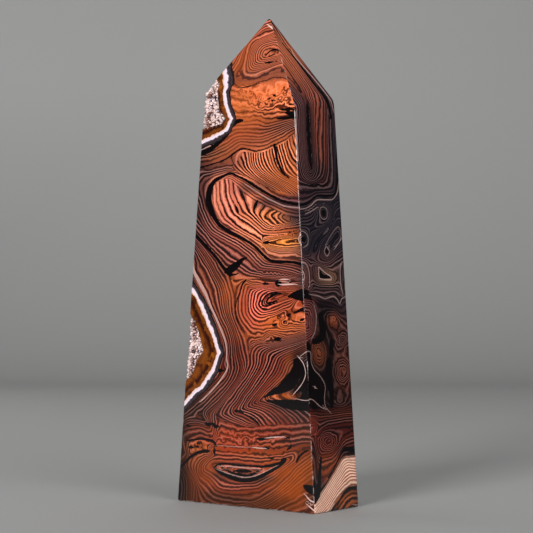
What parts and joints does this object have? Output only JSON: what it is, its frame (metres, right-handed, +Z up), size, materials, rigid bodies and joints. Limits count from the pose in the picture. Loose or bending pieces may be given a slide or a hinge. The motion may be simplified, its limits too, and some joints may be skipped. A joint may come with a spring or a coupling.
{
  "type": "banded agate tower",
  "caption": "Polished banded agate slab cut to a tapering four-sided tower with a pyramid tip, and crystal-lined hollows in its left front edge; stands on its flat base.",
  "frame": {"origin": "middle of the flat base, on the surface that the tower stands on", "axes": "+Z up to the tip; the wide front face looks towards -Y, the narrow side face towards +X"},
  "size_m": [0.0704, 0.03, 0.1994],
  "materials": {
    "agate": "polished",
    "quartz_crystals": "natural crystal faces"
  },
  "bodies": {
    "root": {"agate_stone": "agate", "upper_crystal_crust": "quartz_crystals", "lower_crystal_crust": "quartz_crystals"}
  },
  "joints": []
}
